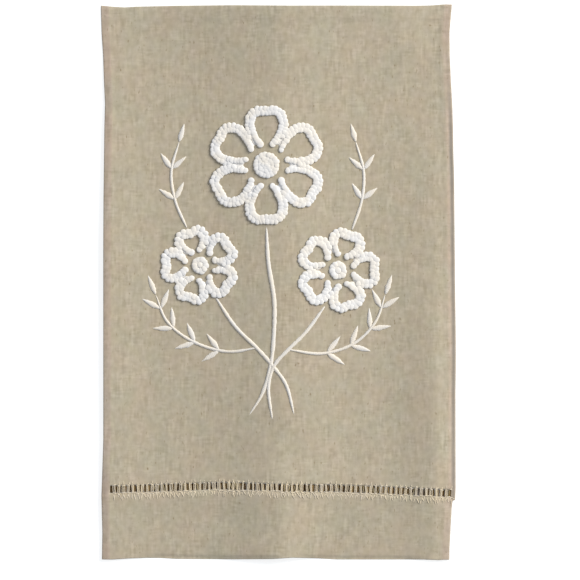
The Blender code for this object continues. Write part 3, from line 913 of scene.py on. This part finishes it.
def knot(bm, x, y, foot):
    """One French knot: a low bead of wound thread, dimpled where the thread goes down."""
    size = KNOT / 2 * uneven.uniform(1 - KNOT_UNEVEN, 1 + KNOT_UNEVEN)
    tall = KNOT_HEIGHT / 2 * uneven.uniform(1 - KNOT_UNEVEN, 1 + KNOT_UNEVEN)
    turned = Matrix.Rotation(uneven.uniform(0, 2 * math.pi), 4, "Z")
    tilted = Matrix.Rotation(uneven.uniform(-KNOT_TILT, KNOT_TILT), 4, "X")
    sized = Matrix.Diagonal((size, size * uneven.uniform(KNOT_OVAL, 1), tall, 1))
    placed = Matrix.Translation((x, y, foot + tall)) @ turned @ tilted @ sized
    bead = bmesh.new()
    bead.loops.layers.uv.verify()
    faces = {"u_segments": KNOT_SIDES, "v_segments": KNOT_RINGS}
    bmesh.ops.create_uvsphere(bead, radius=1, calc_uvs=True, matrix=placed, **faces)
    pole = max(bead.verts, key=lambda v: v.co.z)
    pole.co.z -= KNOT_DIMPLE * tall
    add(bm, bead)


def knots():
    """The French knots of the blossoms, each strayed a little from its place."""
    bm = bmesh.new()
    places = knot_places()
    spots = places[:, :2] + uneven.uniform(-KNOT_STRAY, KNOT_STRAY, (len(places), 2))
    for (x, y, z), lift in zip(on_face(spots), places[:, 2]):
        knot(bm, x, y, z + lift - KNOT_SUNK)
    return piece("french_knots", bm, white_cotton)


def pad(bm, line, width):
    """One length of padding along a line, its ends closed and its middle at full height."""
    from_end = np.minimum(np.arange(len(line)), np.arange(len(line))[::-1])
    widths = width * np.clip(from_end / PADDING_CLOSES, 0, 1)
    laid(bm, on_face(line, -PADDING_SUNK), widths, PADDING_RISE * np.clip(widths, 0, 1))


def padding():
    """Long stitches laid under the knots, which fill each petal's band and heart."""
    bm = bmesh.new()
    ring = np.linspace(0, 2 * math.pi, HEART_STEPS)
    circle = np.column_stack([np.cos(ring), np.sin(ring)])
    for blossom in BLOSSOMS:
        x, y, radius, *_, band = blossom
        for line in petal_lines(blossom, PADDING_STEP):
            pad(bm, line, band - PADDING_INSET)
        for share in HEART_RINGS:
            pad(bm, (x, y) + radius * share * circle, radius * HEART_RING_WIDTH)
    return piece("padding_stitches", bm, white_cotton)


def ragged(shape, share):
    """The shares of its width that a satin-stitched shape has along it, a little uneven."""
    return lookup(shape, share) * (1 + uneven.uniform(-SATIN_RAGGED, SATIN_RAGGED, len(share)))


def stem(bm, width, points):
    """One satin-stitched stem through a few points."""
    line = on_face(smooth_line(points, SATIN_STEP), -SATIN_SUNK)
    shares = ragged(STEM_SHAPE, np.linspace(0, 1, len(line)))
    laid(bm, line, width * shares, STEM_RISE * np.minimum(1, shares / STEM_FULL), sides=SATIN_SIDES)


def leaf(bm, foot, turn, length):
    """One satin-stitched leaf from its foot, turned this many radians."""
    share = np.linspace(0, 1, LEAF_STEPS)
    way = np.array([math.cos(turn), math.sin(turn)])
    line = on_face(foot + share[:, None] * length * way, -SATIN_SUNK)
    widths = LEAF_WIDTH * ragged(LEAF_SHAPE, share)
    laid(bm, line, widths, LEAF_RISE * np.minimum(1, widths / LEAF_FULL), sides=SATIN_SIDES)


def satin():
    """Stems and leaves: padded satin stitch, domed and tapered. A spray ends in a single leaf."""
    bm = bmesh.new()
    for width, points in [*STEMS, *[(w, p) for w, p, _, _ in SPRAYS]]:
        stem(bm, width, points)
    spread = math.radians(LEAF_SPREAD)
    for _, points, length, pairs in SPRAYS:
        line = smooth_line(points, STEM_STEP)
        for share in (*pairs, 1.0):
            i = min(round(share * (len(line) - 1)), len(line) - 2)
            heading = math.atan2(*(line[i + 1] - line[i])[::-1])
            for turn in ((heading,) if share == 1.0 else (heading - spread, heading + spread)):
                leaf(bm, line[i], turn, length)
    return piece("satin_stems_and_leaves", bm, satin_cotton)


sheet = cloth()
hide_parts("towel_cloth")
sewn = [bars(), loose_threads(), fringe(), hemstitches(), padding(), knots(), satin()]

# ---------------------------------------------------------------- floor, lights and camera
# The board: its size, and how far under the cloth's hollows it lies.
FLOOR_SIZE = 16000.0
FLOOR_BELOW = 0.2
# The sky's tint and strength, and the lamp's tint, power in watts, size and place.
SKY_TINT = (0.91, 0.96, 1.08)
SKY_LIGHT = 0.52
KEY_TINT = (1.0, 0.96, 0.90)
KEY_POWER = 1050.0
KEY_SIZE = 4000.0
KEY_PLACE = (6200.0, 4200.0, 4400.0)
# The view: its width and middle on the towel, the camera's height and its sensor's width.
VIEW_WIDTH = 585.3
VIEW_MIDDLE = (11.75, -7.91)
CAMERA_HEIGHT = 4800.0
SENSOR = 36.0


def lit_board():
    """A matt acrylic board, lit from behind: an even white to the eye, on which shadows stay faint."""
    made, _, shader = material("matt_white_acrylic_board", BOARD_FINISH)
    shader.inputs["Base Color"].default_value = (*hex_colour(BOARD), 1)
    bm = bmesh.new()
    bmesh.ops.create_grid(bm, x_segments=1, y_segments=1, size=FLOOR_SIZE / 2 * MM)
    bmesh.ops.translate(bm, vec=(0, 0, -FLOOR_BELOW * MM), verts=bm.verts)
    mesh = bpy.data.meshes.new("floor")
    bm.to_mesh(mesh)
    bm.free()
    mesh.materials.append(made)
    board = bpy.data.objects.new("floor", mesh)
    bpy.context.scene.collection.objects.link(board)


def soft_light():
    """A large lamp high at the upper right, and a pale sky all round."""
    world = bpy.data.worlds.new("studio")
    world.use_nodes = True
    sky = world.node_tree.nodes["Background"]
    sky.inputs["Color"].default_value = (*SKY_TINT, 1)
    sky.inputs["Strength"].default_value = SKY_LIGHT
    bpy.context.scene.world = world
    lamp = bpy.data.lights.new("key", "AREA")
    lamp.energy = KEY_POWER
    lamp.size = KEY_SIZE * MM
    lamp.color = KEY_TINT
    key = bpy.data.objects.new("key", lamp)
    key.location = Vector(KEY_PLACE) * MM
    key.rotation_euler = (-Vector(KEY_PLACE)).to_track_quat("-Z", "Y").to_euler()
    bpy.context.scene.collection.objects.link(key)


def straight_above():
    """The camera, looking straight down from far off, so that the folds hardly shift the towel's outline."""
    lens = bpy.data.cameras.new("camera")
    lens.sensor_width = SENSOR
    lens.lens = SENSOR * CAMERA_HEIGHT / VIEW_WIDTH
    seen_from = bpy.data.objects.new("camera", lens)
    seen_from.location = (VIEW_MIDDLE[0] * MM, VIEW_MIDDLE[1] * MM, CAMERA_HEIGHT * MM)
    bpy.context.scene.collection.objects.link(seen_from)
    bpy.context.scene.camera = seen_from


lit_board()
soft_light()
straight_above()
bpy.context.scene.view_settings.view_transform = "Standard"
